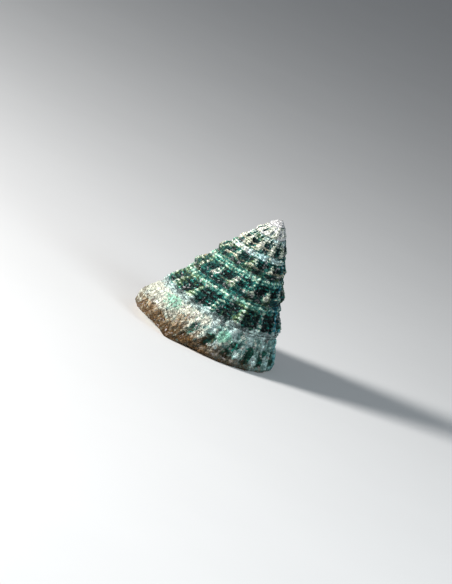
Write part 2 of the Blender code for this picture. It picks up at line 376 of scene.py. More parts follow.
def base_points(n, u):
    n = n - base_lag(n, u)
    radius, depth = base_line(n, u)
    cords = base_cords(u) * smooth_step(0.0, 0.05, u) * (1 - smooth_step(0.9, 1.0, u))
    return place(n, radius, depth + cords + lump_hang(n) * (1 - u) ** LUMP_FADE)


def thickness(n):
    return LIP_EDGE + (WALL - LIP_EDGE) * smooth_step(0.0, LIP_TAPER, LAST_WHORL - n)


def hollow_ring(n, wall_rows):
    """The hollow's outline at growth n: down the outer wall, in along the base, up the pillar, out along the roof."""
    thick = thickness(n)
    at_rim = n - lag(n, LIP_LAG)
    edge_u = 1.0 / BASE_STEPS
    roof_radius, roof_depth = base_line(n - 1, edge_u)
    rim_radius, rim_depth = (value - thick * share for value, share in zip(base_line(at_rim, 0.0), (CORNER_INSET, 1)))
    foot_radius, foot_depth = base_line(at_rim, 1.0)
    foot_depth = foot_depth - thick
    v = np.arange(1, wall_rows + 1) / wall_rows
    bulge = thick * np.sin(math.pi * v) * (1 - DEEP_INSET * smooth_step(*DEEP_FROM_TO, LAST_WHORL - n))
    side = place(
        n - lag(n, LIP_LAG * v),
        roof_radius + (rim_radius - roof_radius) * v + SIDE_BULGE[0] * bulge,
        roof_depth + (rim_depth - roof_depth) * v + SIDE_BULGE[1] * bulge,
    )
    u = np.arange(1, BASE_STEPS + 1) / BASE_STEPS
    floor = place(
        n - base_lag(n, u),
        rim_radius + (foot_radius - rim_radius) * u,
        rim_depth + (foot_depth - rim_depth) * u,
    )
    top_radius, top_depth = base_line(n - 1, 1.0)
    w = np.arange(1, PILLAR_STEPS + 1) / (PILLAR_STEPS + 1)
    pillar = place(
        n - lag(n, LIP_LAG) * (1 - w),
        foot_radius + (top_radius - foot_radius) * w + PILLAR_FOLD * np.sin(math.pi * w),
        foot_depth + (top_depth - foot_depth) * w,
    )
    roof = place(n + 0 * u, *base_line(n - 1, u[::-1]))
    return np.concatenate([side, floor, pillar, roof])


class Net:
    """Points and faces gathered for one mesh. Each point keeps its growth, its level and its region."""

    def __init__(self):
        self.parts = []
        self.count = 0
        self.faces = []
        self.slots = []

    def points(self, points, growth, level, region):
        points = np.atleast_2d(points)
        size = len(points)
        self.parts.append((points, growth + np.zeros(size), level + np.zeros(size), region + np.zeros(size)))
        self.count += size
        return np.arange(self.count - size, self.count)

    def fill(self, faces, slot):
        faces = np.atleast_2d(faces).tolist()
        self.faces += faces
        self.slots += [slot] * len(faces)

    def strip(self, left, right, slot):
        """Quads between two lines of as many points. The left one has grown less."""
        self.fill(np.stack([left[:-1], right[:-1], right[1:], left[1:]], axis=1), slot)

    def zip_up(self, left, right, slot):
        """Triangles between two lines whose counts differ."""
        i, j = 0, 0
        while i < len(left) - 1 or j < len(right) - 1:
            on_left = (i + 1) / (len(left) - 1)
            on_right = (j + 1) / (len(right) - 1)
            if j == len(right) - 1 or (i < len(left) - 1 and on_left < on_right):
                self.fill([left[i], right[j], left[i + 1]], slot)
                i += 1
            else:
                self.fill([left[i], right[j], right[j + 1]], slot)
                j += 1


def shell_net():
    """The whole skin, closed: the wall from the tip to the lip, the base, and the hollow of the mouth."""
    net = Net()
    columns = round((LAST_WHORL - FIRST_WHORL - 1) * TURN_STEPS)
    growth = LAST_WHORL - (columns - np.arange(-TURN_STEPS, columns + 1)) / TURN_STEPS
    first_turn = growth[:TURN_STEPS]
    growth = growth[TURN_STEPS:]

    top_seam = net.points(place(first_turn, *seam(first_turn)), first_turn, 1.0, WALL_SIDE)
    wall = []
    for column, n in enumerate(growth):
        upper, lower = np.array(seam(n - 1)), np.array(seam(n))
        rows = int(np.clip(round(np.linalg.norm(lower - upper) / ROW_HEIGHT), FEWEST_ROWS, MOST_ROWS))
        v = np.arange(1, rows + 1) / rows
        first = top_seam[column] if column < TURN_STEPS else wall[column - TURN_STEPS][-1]
        wall.append(np.concatenate([[first], net.points(wall_points(n + 0 * v, v), n, v, WALL_SIDE)]))
    for left, right in zip(wall, wall[1:]):
        join = net.strip if len(left) == len(right) else net.zip_up
        join(left, right, WALL_SIDE)

    tip = net.points(place(FIRST_WHORL, 0.0, TIP_DEPTH), FIRST_WHORL, 0.5, WALL_SIDE)[0]
    loop = np.concatenate([top_seam, wall[0][::-1]])
    net.fill(np.stack([0 * loop[1:] + tip, loop[1:], loop[:-1]], axis=1), WALL_SIDE)

    base = []
    u = np.arange(1, BASE_STEPS + 1) / BASE_STEPS
    for column in range(columns - TURN_STEPS, columns + 1):
        n = growth[column]
        base.append(np.concatenate([[wall[column][-1]], net.points(base_points(n + 0 * u, u), n, u, BASE_SIDE)]))
    for left, right in zip(base, base[1:]):
        net.strip(left, right, BASE_SIDE)

    roof = base[0]
    wall_rows = len(wall[-1]) - 1
    ring = hollow_ring(LAST_WHORL, wall_rows)
    edge = net.points(ring[:-BASE_STEPS], LAST_WHORL, 0.0, INNER_SIDE)
    near = np.concatenate([edge, roof[:0:-1]])
    for column in range(columns - HOLLOW_STEP, columns - round(MOUTH_DEPTH * TURN_STEPS), -HOLLOW_STEP):
        n = growth[column]
        far = net.points(hollow_ring(n, wall_rows), n, LAST_WHORL - n, INNER_SIDE)
        net.fill(np.stack([np.roll(far, 1), far, near, np.roll(near, 1)], axis=1), INNER_SIDE)
        near = far
    middle = np.concatenate([part[0] for part in net.parts])[near].mean(axis=0)
    end = net.points(middle, n, MOUTH_DEPTH, INNER_SIDE)[0]
    net.fill(np.stack([0 * near + end, near, np.roll(near, 1)], axis=1), INNER_SIDE)

    outer = np.concatenate([wall[-1], base[-1][1:]])
    inner = np.concatenate([[roof[1]], edge[: len(outer) - 1]])
    net.fill(np.stack([outer[1:], outer[:-1], inner[:-1], inner[1:]], axis=1), INNER_SIDE)

    foot_n = LAST_WHORL - FOOT_LAG
    foot = net.points(place(foot_n, 0.0, base_line(foot_n, 1.0)[1]), foot_n, 1.0, BASE_SIDE)[0]
    pillar = np.concatenate([[line[-1] for line in base], edge[len(outer) - 1 :], roof[-1:]])
    net.fill(np.stack([0 * pillar[1:] + foot, pillar[:-1], pillar[1:]], axis=1), INNER_SIDE)
    return net


def come(n, span):
    """0 before the span, 1 after it."""
    return smooth_step(*span, n)


def go(n, span):
    return 1 - smooth_step(*span, n)


class Spots:
    """The points of the skin, with what all the markings are worked out from."""

    def __init__(self, points, n, level, region, grit):
        self.n, self.level, self.region, self.grit = n, level, region, grit
        self.wall = region == WALL_SIDE
        v = np.where(self.wall, level, 1.0)
        self.lumps = cloud(points, BROAD_LUMPS)
        self.small = cloud(points + OTHER_PLACE, SMALL_LUMPS)
        self.rib = knob_count(n, v)
        # The noises push the markings along the whorl, and up and down it.
        self.count = self.rib + 0.16 * self.lumps + 0.13 * self.small
        self.v = v + (0.08 * self.lumps + 0.04 * self.small) * np.sin(math.pi * v)
        self.body = come(n, LAST_COLOUR)
        # The left side is lit, and is painted paler partly as painted light; the right side is shaded, and is painted
        # bluer partly as painted shade.
        self.left = side_hump(n, *LIT_LEFT_SIDE)
        self.right = side_hump(n, *SHADED_RIGHT_SIDE)
        self.tents = tent(n, self.v, self.count)
        self.patchy = smooth_step(-0.25, 0.35, self.lumps + 0.5 * self.small)

    def patch(self, along, down):
        """A soft patch. along and down give its middle and width, as growth and as level."""
        return hump(self.n, *along) * hump(self.v, *down)


def rise_mask(s):
    """The relief as a mask: 1 on knobs, threads and grit, 0 between them, and 0.5 away from the wall."""
    knobs = 0.42 * (tent(s.n, s.level, s.rib) - 0.5) * smooth_step(0.25, 0.6, s.level)
    rise = (knobs + 0.26 * hump(s.level, BEAD_AT, BEAD_WIDTH)) * (1 - 0.5 * s.body)
    rise = rise + 0.80 * (threads(s.level, s.rib) - 0.33) * (1 - 0.6 * s.body)
    rise = rise + 0.13 * s.body * folds(s.level, s.rib)
    from_grit = (0.20 + 0.10 * come(s.n, ROUGHER_FROM) - 0.05 * s.body) * s.grit
    return np.where(s.wall, 0.5 + rise + from_grit, 0.5)


def mint_patches(s):
    return 0.95 * s.patch(*LEFT_MINT) + 3.0 * s.patch(*FRONT_MINT)


def window_mask(s):
    """The dark windows between the knobs, and the pits above them on the first whorls."""
    top = np.interp(s.n, WINDOW_WHORLS, WINDOW_TOP)
    foot = np.interp(s.n, WINDOW_WHORLS, WINDOW_FOOT)
    strength = 0.66 + 0.34 * chance(np.round(s.count + 0.5), 5) + 0.40 * s.small - 0.22 * hump(s.n, *FAINT_WINDOWS)
    window = (1 - s.tents) * smooth_step(top - 0.08, top + 0.08, s.v) * (1 - smooth_step(foot - 0.06, foot + 0.05, s.v))
    dull = come(s.n, CRUSTED_FROM) * (1 - 0.5 * come(s.n, CRUSTED_TO))
    window = window * strength * (1 + 0.25 * s.body) * (1 - 0.8 * dull) * come(s.n, WINDOWS_FROM)
    # Fewer dark windows on the lit left side: partly painted light.
    window = window * (1 - 0.35 * s.left * (1 - s.body))
    pits = 0.9 * hump(np.cos(2 * math.pi * s.rib), -1.0, 0.40) * hump(s.level, 0.22, 0.10) * come(s.n, PITS_FROM)
    window = np.maximum(window * (1 + 0.35 * go(s.n, DARKER_TO)), pits * go(s.n, PITS_TO))
    return window * (1 - np.clip(mint_patches(s), 0.0, 1.0))


def knob_masks(s):
    """The worn knobs, pale partly from wear and partly as a painted highlight, the ledge that they end in, and the
    painted shade below it.
    """
    crest_and_highlight = s.tents * smooth_step(0.30, 0.5, s.v) * (1 - smooth_step(0.84, 0.92, s.v)) * (1 - s.body)
    crest_and_highlight = crest_and_highlight * (1 - 0.5 * come(s.n, KNOBS_DULL_FROM))
    upper = go(s.n, UPPER_TO)
    ledge = hump(s.v, ledge_level(s.n), 0.024 + 0.020 * upper) * (1 - s.body) * np.maximum(s.patchy, 0.8 * upper)
    ledge = ledge * go(s.n, KNOBS_DULL_FROM) * come(s.n, LEDGES_FROM)
    # Painted shade below the ledge.
    under = smooth_step(0.80, 0.86, s.v) * go(s.n, UNDER_TO) * come(s.n, UNDER_FROM)
    under = under * (0.60 + 0.45 * s.small + 0.15 * upper)
    rust = crest_and_highlight * chance(np.round(s.count), 7) * come(s.n, RUST_FROM) * (0.5 + 0.7 * s.left)
    return crest_and_highlight, ledge, under, rust


def seam_and_rim_shade_mask(s):
    """The painted shade in the seams, along the last whorl's foot, and in its notch."""
    seam_and_rim_shade = np.maximum(smooth_step(0.93, 0.98, s.v), 1 - smooth_step(0.0, 0.03, s.v))
    seam_and_rim_shade = seam_and_rim_shade * (1 - s.body) * (0.5 + 0.5 * s.patchy) * (1 - last_whorl(s.n + 1))
    foot = s.body * smooth_step(0.93, 0.99, s.v) * go(s.n, FOOT_SHADE_TO) * come(s.n, FOOT_SHADE_FROM)
    return seam_and_rim_shade + 0.8 * foot + 0.9 * s.patch(*NOTCH_SHADE)


def frill_mask(s):
    """The pale crust in the last seam, below it and above it."""
    edge = 0.91 - 0.08 * scallops(s.n + 1) - 0.05 * s.small
    frill = (1 - s.body) * last_whorl(s.n + 1) * smooth_step(edge, edge + 0.04, s.v)
    return frill + s.body * (1 - smooth_step(0.05, 0.16, s.v + 0.05 * s.small))


def pale_masks(s, rise):
    """The bands under the seams, the cream crust, and the cyan and the mint on it."""
    band = (1 - smooth_step(0.20, 0.36, s.v)) * smooth_step(0.02, 0.06, s.v) * (1 - s.body) * (0.6 + 0.4 * s.patchy)
    wide = (1 - smooth_step(0.30, 0.42, s.v)) * smooth_step(0.03, 0.08, s.v)
    wide = wide * come(s.n, WIDE_BAND_FROM) * go(s.n, WIDE_BAND_TO)
    pale = 0.80 * go(s.n, PALE_TO) + 0.08 * go(s.n, PALEST_TO)
    # Paler on the lit left side and on the rises: partly painted light.
    pale = pale + 0.28 * s.left + 0.30 * s.lumps + 0.75 * (rise - 0.5)
    pale = pale + s.body * (0.34 + 0.60 * come(s.n, CREAM_FROM)) - 0.15 * s.body * hump(s.n, *RIGHT_SHADE)
    pale = pale + 0.6 * wide
    cyan = np.maximum(0.6 * band * come(s.n, CYAN_FROM) * go(s.n, CYAN_TO), wide * (0.55 + 0.6 * s.lumps))
    # More mint on the lit left side: partly painted light.
    mint = mint_patches(s) + (0.30 * band + 0.32 * s.left) * (1 - s.body) * come(s.n, MINT_FROM) + 0.25 * s.small
    return band, pale, cyan, mint


def crust_masks(s, mint):
    """The last whorl's tan crust, its brown specks, and the brown along its rim, which is partly crust and partly
    painted shade below the rim.
    """
    tan = come(s.n, TAN_FROM) * go(s.n, TAN_TO) * smooth_step(0.50, 0.80, s.v) + 0.85 * s.patch(*CRUST_PATCH)
    # Near the rim the tan deepens, partly as painted shade below it.
    tan = tan + 0.75 * s.body * smooth_step(0.90, 0.97, s.v) + 0.2 * s.small
    rim_crust_and_shade = s.body * smooth_step(0.70, 0.95, s.v + 0.10 * hump(s.n, *HIGH_RIM_CRUST_AND_SHADE) + 0.10 * s.small)
    rim_crust_and_shade = rim_crust_and_shade * (0.4 + 0.7 * come(s.n, RIM_CRUST_AND_SHADE_FROM)) * (1 - 0.4 * come(s.n, RIM_CRUST_AND_SHADE_TO))
    specks = s.body * come(s.n, SPECKS_FROM) * (0.10 + 1.0 * smooth_step(0.28, 0.62, s.v)) * (0.8 - 0.4 * mint)
    return tan, rim_crust_and_shade, specks


def blue_and_shade_mask(s):
    """The bluish tint of the right side, partly the crust's own colour and partly painted shade, and of two places on
    the last whorl, one of them the painted shade on its right.
    """
    blue_and_shade = s.right * (0.30 + 0.45 * s.patchy + 0.15 * come(s.n, BLUER_FROM)) * (1 - s.body)
    blue_and_shade = blue_and_shade + 0.35 * side_hump(s.n, *BACK_BLUE) + s.body * (0.35 + 0.30 * s.patchy) * hump(s.n, *RIGHT_SHADE)
    return blue_and_shade + s.body * 0.30 * hump(s.n, *FRONT_BLUE) * smooth_step(0.1, 0.3, s.lumps)


def streak_mask(s):
    """Streaks along the ribs, and the pale flames of the last whorl, which lean like its ribs."""
    places = zip(STREAKS_ACROSS * s.count, STREAKS_DOWN * s.level, STREAKS_ALONG * s.n)
    streak = np.array([noise.noise(Vector(place)) for place in places])
    slant = s.n - FLAME_LEAN * (0.5 - s.level)
    flame = sum(hump(slant, at, FLAME_WIDTH) for at in FLAMES)
    return 0.5 + 0.9 * (streak * (1 - 0.5 * s.body) + 0.8 * s.body * (flame - 0.25))


def markings(points, n, level, region, grit):
    """The masks that the materials read at every point, from 0 to 1, and the two values that place the threads."""
    s = Spots(points, n, level, region, grit)
    rise = rise_mask(s)
    crest_and_highlight, ledge, under, rust = knob_masks(s)
    band, pale, cyan, mint = pale_masks(s, rise)
    tan, rim_crust_and_shade, specks = crust_masks(s, mint)
    masks = {
        "rise": rise,
        "window": window_mask(s),
        "first": go(n, FIRST_TO),
        "crest_and_highlight": crest_and_highlight,
        "rust": rust,
        "ledge": ledge,
        "under": under,
        "seam_and_rim_shade": seam_and_rim_shade_mask(s),
        "band": band,
        "cyan": cyan,
        "frill": frill_mask(s),
        "pale": pale,
        "mint": mint,
        "tan": tan,
        "specks": specks,
        "rim_crust_and_shade": rim_crust_and_shade,
        "blue_and_shade": blue_and_shade_mask(s),
        "streak": streak_mask(s),
        "body": s.body,
        "tip": 1.2 * go(n, TIP_TO),
        "ring": np.where(region == BASE_SIDE, level, 0.0),
    }
    masks = {name: np.clip(mask, 0.0, 1.0) for name, mask in masks.items()}
    masks["rib"] = s.rib + 0.05 * s.small
    masks["level"] = s.v
    return masks


def crust(n, region, masks, grit):
    """The height of the crust at each point, in metres. It is thin at the lip and there is none in the hollow."""
    height = CRUST_LUMP * grit * (0.8 - 0.25 * last_whorl(n) + 0.6 * masks["tan"] + 0.1 * masks["pale"])
    rim = np.where(region == BASE_SIDE, 1 - masks["ring"], masks["level"]) * last_whorl(n)
    height = np.clip(height * (1 - 0.65 * smooth_step(0.80, 0.97, rim)), -MOST_CRUST, MOST_CRUST)
    height = height * np.where(region == BASE_SIDE, 0.35, 1.0) * np.where(region == INNER_SIDE, 0.0, 1.0)
    small = 0.25 + 0.75 * smooth_step(2.5, 5.2, n)
    return height * small * smooth_step(0.0, 0.03, LAST_WHORL - n)


def build_shell():
    net = shell_net()
    points, n, level, region = (np.concatenate(column) for column in zip(*net.parts))
    data = bpy.data.meshes.new("dressed_shell")
    data.from_pydata(points.tolist(), [], net.faces)
    data.polygons.foreach_set("material_index", net.slots)
    data.shade_smooth()
    grit = cloud(points, CRUST_LUMP_SIZE) + CRUST_GRAIN / CRUST_LUMP * cloud(points, CRUST_GRAIN_SIZE, 2)
    masks = markings(points, n, level, region, grit)
    normals = np.empty(len(points) * 3, np.float32)
    data.vertices.foreach_get("normal", normals)
    points = points + normals.reshape(-1, 3) * crust(n, region, masks, grit)[:, None]
    points[:, 2] = np.maximum(points[:, 2], 0.0)
    data.vertices.foreach_set("co", points.ravel())
    for name, mask in masks.items():
        data.attributes.new(name, "FLOAT", "POINT").data.foreach_set("value", mask.astype(np.float32))
    data.update()
    shell = bpy.data.objects.new("dressed_shell", data)
    bpy.context.scene.collection.objects.link(shell)
    return shell


# Small helpers for node trees. Sizes are in metres, and each returns the socket that it makes.
def put(tree, kind, inputs, out=0, **settings):
    node = tree.nodes.new(kind)
    for name, value in settings.items():
        setattr(node, name, value)
    for name, value in inputs.items():
        if isinstance(value, bpy.types.NodeSocket):
            tree.links.new(value, node.inputs[name])
        else:
            node.inputs[name].default_value = value
    return node.outputs[out]


def sums(tree, operation, first, second):
    return put(tree, "ShaderNodeMath", {0: first, 1: second}, operation=operation)


def mask(tree, name):
    return put(tree, "ShaderNodeAttribute", {}, out="Fac", attribute_name=name)


def grow_mask(tree, value, low, high, least=0.0, most=1.0):
    """value from low to high, smoothed, put between least and most."""
    inputs = {"Value": value, "From Min": low, "From Max": high, "To Min": least, "To Max": most}
    return put(tree, "ShaderNodeMapRange", inputs, interpolation_type="SMOOTHSTEP")


def blend(tree, factor, first, second, kind="MIX"):
    return put(tree, "ShaderNodeMix", {0: factor, 6: first, 7: second}, out=2, data_type="RGBA", blend_type=kind)


def mix_values(tree, factor, first, second):
    return put(tree, "ShaderNodeMix", {0: factor, 2: first, 3: second}, data_type="FLOAT")


def speckle(tree, where, size, detail=3.0, roughness=0.6):
    inputs = {"Vector": where, "Scale": 1 / size, "Detail": detail, "Roughness": roughness}
    return put(tree, "ShaderNodeTexNoise", inputs, out="Fac")


def object_place(tree):
    return put(tree, "ShaderNodeTexCoord", {}, out="Object")


def new_group(name, inputs, outputs):
    tree = bpy.data.node_groups.new(name, "ShaderNodeTree")
    for label, default in inputs.items():
        tree.interface.new_socket(label, in_out="INPUT", socket_type="NodeSocketFloat").default_value = default
    for label in outputs:
        tree.interface.new_socket(label, in_out="OUTPUT", socket_type="NodeSocketFloat")
    return tree, tree.nodes.new("NodeGroupInput"), tree.nodes.new("NodeGroupOutput")


GRAIN_WANDER, WANDER_SCALE = 0.0006, 1500.0     # the grains are shifted this far, so many times to the metre
MOTTLES = (                 # name, size in metres, and the span of the noise that is spread over 0 to 1
    ("Broad", 0.0050, 0.34, 0.66),
    ("Middle", 0.0014, 0.32, 0.68),
    ("Fine", 0.0005, 0.30, 0.70),
)


def granule_group():
    """Lime grains packed side by side: a height, a tone for each grain, and the dark gaps."""
    tree, given, result = new_group("lime_granules", {"Grains per Metre": 2600.0}, ("Height", "Tone", "Gap"))
    where = object_place(tree)
    wander = put(tree, "ShaderNodeTexNoise", {"Vector": where, "Scale": WANDER_SCALE, "Detail": 2.0}, out="Color")
    shifted = blend(tree, GRAIN_WANDER, where, wander, kind="ADD")
    cells = tree.nodes.new("ShaderNodeTexVoronoi")
    tree.links.new(shifted, cells.inputs["Vector"])
    tree.links.new(given.outputs["Grains per Metre"], cells.inputs["Scale"])
    tree.links.new(grow_mask(tree, cells.outputs["Distance"], 0.75, 0.05), result.inputs["Height"])
    tone = put(tree, "ShaderNodeSeparateColor", {"Color": cells.outputs["Color"]}, out="Red")
    tree.links.new(tone, result.inputs["Tone"])
    tree.links.new(grow_mask(tree, cells.outputs["Distance"], 0.45, 0.85), result.inputs["Gap"])
    return tree


def mottle_group():
    """Cloudy variation at three sizes, each spread over 0 to 1."""
    tree, given, result = new_group("mottling", {"Size": 1.0}, ("Broad", "Middle", "Fine"))
    where = object_place(tree)
    for label, size, low, high in MOTTLES:
        scale = sums(tree, "DIVIDE", 1 / size, given.outputs["Size"])
        value = put(tree, "ShaderNodeTexNoise", {"Vector": where, "Scale": scale, "Detail": 3.0}, out="Fac")
        tree.links.new(grow_mask(tree, value, low, high), result.inputs[label])
    return tree


def group_node(tree, group, **inputs):
    node = tree.nodes.new("ShaderNodeGroup")
    node.node_tree = group
    for name, value in inputs.items():
        node.inputs[name.replace("_", " ")].default_value = value
    return node


def new_material(name, **plain):
    material = bpy.data.materials.new(name)
    material.use_nodes = True
    surface = material.node_tree.nodes["Principled BSDF"]
    for label, value in plain.items():
        surface.inputs[label.replace("_", " ")].default_value = value
    return material, material.node_tree, surface


def rough_up(tree, surface, height, depth):
    """Raises the surface by height, 0 to 1, times depth in metres."""
    bump = put(tree, "ShaderNodeBump", {"Strength": 1.0, "Distance": depth, "Height": height}, out="Normal")
    tree.links.new(bump, surface.inputs["Normal"])


def wave(tree, value, turns):
    """0 to 1 and back, that many times for each whole number of value."""
    turned = put(tree, "ShaderNodeMath", {0: sums(tree, "MULTIPLY", value, 2 * math.pi * turns)}, operation="COSINE")
    return sums(tree, "ADD", sums(tree, "MULTIPLY", turned, 0.5), 0.5)


# Layers of paint: the mask, how ragged its edge is, where it starts and where it is full, its strength and colour
PATCHES = (
    ("cyan", 0.8, 0.25, 0.70, 0.90, PALE_CYAN),
    ("mint", 0.9, 0.35, 0.80, 0.85, MINT),
    ("crest_and_highlight", 1.6, 0.75, 1.30, 0.65, CREAM),
    ("rust", 1.0, 0.35, 0.90, 0.75, TAN),
    ("tan", 1.2, 0.40, 0.95, 0.80, TAN),
    ("frill", 0.6, 0.30, 0.75, 0.85, PALE_BLUE),
)
# The dark below the ledges, in the seams and along the last whorl's foot is painted shade.
EDGES = (
    ("under", 1.6, 0.25, 0.75, 0.85, DEEP_GREEN),
    ("ledge", 0.9, 0.35, 0.80, 0.85, STRAW),
    ("seam_and_rim_shade", 0.7, 0.35, 0.95, 0.80, NEAR_BLACK),
)
GLINT_SIZE = 0.0009
WALL_GRAINS, BASE_GRAINS = 2100.0, 3200.0       # to the metre
WALL_DEPTH, BASE_DEPTH, PEARL_DEPTH = 0.00030, 0.00006, 0.00004     # of the finest relief, in metres


class WallPaint:
    """The node tree of the wall, with the sockets that its layers share."""

    def __init__(self, tree, granules, mottle):
        self.tree = tree
        self.grain = group_node(tree, granules, Grains_per_Metre=WALL_GRAINS)
        cloudy = group_node(tree, mottle)
        self.broad, self.middle, self.fine = (cloudy.outputs[name] for name in ("Broad", "Middle", "Fine"))
        both = sums(tree, "ADD", self.middle, self.fine)
        self.rough_edge = sums(tree, "SUBTRACT", sums(tree, "MULTIPLY", both, 0.5), 0.5)
        self.body, self.rise, self.streak = (mask(tree, name) for name in ("body", "rise", "streak"))
        # Threads run round the whorl, and carry a row of beads each.
        thread = wave(tree, self.shaken(mask(tree, "level"), 0.05), THREADS)
        bead = wave(tree, self.shaken(mask(tree, "rib"), 0.15), THREAD_BEADS)
        bead = sums(tree, "ADD", sums(tree, "MULTIPLY", bead, 0.6), 0.4)
        self.beaded = sums(tree, "MULTIPLY", thread, bead)

    def shaken(self, value, reach):
        """value with the crumbled noise added, half the reach up or down."""
        return sums(self.tree, "ADD", value, sums(self.tree, "MULTIPLY", self.rough_edge, reach))

    def ragged(self, value, reach, low, high, most=1.0):
        """value as a mask with a crumbled edge."""
        return grow_mask(self.tree, self.shaken(value, reach), low, high, 0.0, most)

    def layers(self, colour, rows):
        for name, reach, low, high, most, paint in rows:
            colour = blend(self.tree, self.ragged(mask(self.tree, name), reach, low, high, most), colour, paint)
        return colour

    def along_coil(self, across, down, detail):
        """Noise stretched along the whorls or the ribs: so many lumps to a knob, and to a whorl's height."""
        tree = self.tree
        where = {"X": sums(tree, "MULTIPLY", mask(tree, "rib"), across),
                 "Y": sums(tree, "MULTIPLY", mask(tree, "level"), down)}
        where = put(tree, "ShaderNodeCombineXYZ", where)
        return put(tree, "ShaderNodeTexNoise", {"Vector": where, "Scale": 1.0, "Detail": detail}, out="Fac")

    def crust(self):
        """The crust of all the whorls, before the dark windows, with painted shade in its hollows and on its right
        side, and painted highlights on its raised grit.
        """
        tree, ragged, body, rise = self.tree, self.ragged, self.body, self.rise
        colour = blend(tree, grow_mask(tree, self.broad, 0.3, 0.9), TEAL, OLIVE)
        colour = self.layers(colour, (("band", 0.8, 0.35, 0.90, 0.75, LIGHT_TEAL),))
        colour = blend(tree, ragged(self.beaded, 0.8, 0.55, 1.0, 0.6), colour, LIGHT_TEAL)
        colour = blend(tree, ragged(body, 0.6, 0.3, 0.9, 0.8), colour, BLUE_GREY)
        # Raised grit is painted pale, partly its own colour and partly as a painted highlight.
        grit_and_highlight = sums(tree, "SUBTRACT", rise, sums(tree, "MULTIPLY", body, 0.3))
        colour = blend(tree, ragged(grit_and_highlight, 0.35, 0.55, 0.95, 0.75), colour, SAND_HIGHLIGHT)
        colour = self.layers(colour, (("pale", 1.0, 0.30, 0.85, 1.0, CREAM),))
        # Hollows of the relief are tinted teal and darker: painted shade.
        recess_shade = sums(tree, "SUBTRACT", 0.8, sums(tree, "MULTIPLY", body, 0.6))
        colour = blend(tree, sums(tree, "MULTIPLY", grow_mask(tree, rise, 0.52, 0.25), recess_shade), colour, RECESS_SHADE)
        streaks = sums(tree, "MULTIPLY", body, ragged(self.streak, 0.4, 0.45, 0.85, 0.9))
        colour = blend(tree, streaks, colour, PALE_BLUE)
        # Painted shade on the right side, mixed with the crust's own teal.
        teal_and_shade = blend(tree, body, SHADED_SEA_BLUE, SHADED_BRIGHT_SEA)
        colour = self.layers(colour, (("blue_and_shade", 0.8, 0.15, 0.95, 0.80, teal_and_shade),))
        return self.layers(colour, PATCHES)

    def windows(self, colour):
        """The dark windows, with glints and lit threads in them. Returns the colour and the windows' mask."""
        tree, ragged = self.tree, self.ragged
        first = mask(tree, "first")
        shade = blend(tree, self.body, DEEP_GREEN, SOFT_GREEN)
        shade = blend(tree, first, shade, PIT_SHADE)
        glints = grow_mask(tree, speckle(tree, object_place(tree), GLINT_SIZE, 2.0), 0.56, 0.66, 0.0, 0.8)
        shade = blend(tree, glints, shade, TEAL)
        # The edge is crisper on the first whorls and on the last one.
        crisp = sums(tree, "MAXIMUM", first, sums(tree, "MULTIPLY", self.body, 0.7))
        reach = sums(tree, "SUBTRACT", 1.1, sums(tree, "MULTIPLY", crisp, 0.7))
        dark = ragged(mask(tree, "window"), reach, 0.18, 0.62)
        colour = blend(tree, dark, colour, shade)
        lit = sums(tree, "MULTIPLY", ragged(self.rise, 0.6, 0.45, 0.85, 0.75), dark)
        return blend(tree, lit, colour, TEAL), dark

    def specks_and_rim_shade(self, colour):
        """The rows of brown specks, and the brown along the last whorl's rim, which is partly crust and partly painted
        shade.
        """
        tree = self.tree
        rows = grow_mask(tree, self.shaken(self.along_coil(5.0, 5.0, 3.0), 0.25), 0.53, 0.44)
        dots = sums(tree, "MULTIPLY", mask(tree, "specks"), rows)
        colour = blend(tree, sums(tree, "MULTIPLY", dots, 0.95), colour, BROWN)
        rim_crust_and_shade = sums(tree, "MULTIPLY", self.body, self.ragged(mask(tree, "rim_crust_and_shade"), 1.3, 0.05, 0.85, 0.86))
        return blend(tree, rim_crust_and_shade, colour, BROWN)

    def lightness(self):
        """Light and dark at all sizes, steadier where the crust is pale. Rises are painted lighter and hollows darker,
        as painted light and shade.
        """
        tree, body = self.tree, self.body
        rows = mix_values(tree, body, self.along_coil(2.2, 11.0, 2.0), self.along_coil(5.0, 2.0, 2.0))
        rows = grow_mask(tree, rows, 0.32, 0.68, 0.62, 1.28)
        # Painted light on the rises and painted shade in the hollows.
        rise = grow_mask(tree, self.rise, 0.15, 0.85, 0.55, 1.31)
        value = grow_mask(tree, self.streak, 0.2, 0.8, 0.73, 1.09)
        value = sums(tree, "MULTIPLY", value, mix_values(tree, sums(tree, "MULTIPLY", body, 0.45), rows, 1.0))
        value = sums(tree, "MULTIPLY", value, mix_values(tree, sums(tree, "MULTIPLY", body, 0.5), rise, 1.08))
        # Each noise, where it is full, and the darkest and the lightest that it gives
        tones = ((self.grain.outputs["Tone"], 1.0, 0.80, 1.20), (self.fine, 1.0, 0.68, 1.30),
                 (self.middle, 1.0, 0.80, 1.13), (self.beaded, 0.8, 0.84, 1.12))
        for tone, full, darkest, lightest in tones:
            value = sums(tree, "MULTIPLY", value, grow_mask(tree, tone, 0.0, full, darkest, lightest))
        value = sums(tree, "POWER", value, 1.25)
        even = sums(tree, "MAXIMUM", sums(tree, "MULTIPLY", mask(tree, "pale"), 0.45), mask(tree, "tip"))
        for name, share in (("mint", 0.6), ("first", 0.55)):
            even = sums(tree, "MAXIMUM", even, sums(tree, "MULTIPLY", mask(tree, name), share))
        return sums(tree, "ADD", sums(tree, "MULTIPLY", sums(tree, "SUBTRACT", 1.0, value), even), value)


